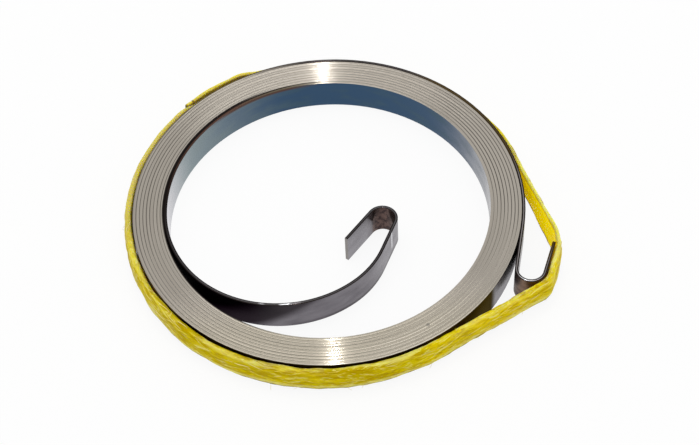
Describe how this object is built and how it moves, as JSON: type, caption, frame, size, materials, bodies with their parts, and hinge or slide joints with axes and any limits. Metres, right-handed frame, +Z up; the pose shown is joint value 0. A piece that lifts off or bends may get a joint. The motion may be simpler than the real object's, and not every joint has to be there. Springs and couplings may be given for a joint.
{
  "type": "recoil starter spring",
  "caption": "Flat spiral spring of steel strip wound on edge, with a hook at each end, held wound by a loop of yellow twine; it rewinds the pull cord of a small engine's recoil starter.",
  "frame": {"origin": "on the coil's axis, at the plane that the coil's lower edge rests on", "axes": "+Z up along the coil's axis; the inner arm leaves the innermost turn on -X, and the outer hook is on the +X side, towards -Y"},
  "size_m": [0.0767, 0.0725, 0.006],
  "materials": {
    "spring_steel": "slit edges bright, faces blue and dark grey from tempering",
    "twine": "glossy split-film fibres, flattened to a band"
  },
  "bodies": {
    "root": {"spring_strip": "spring_steel", "retaining_tie": "twine"}
  },
  "joints": []
}
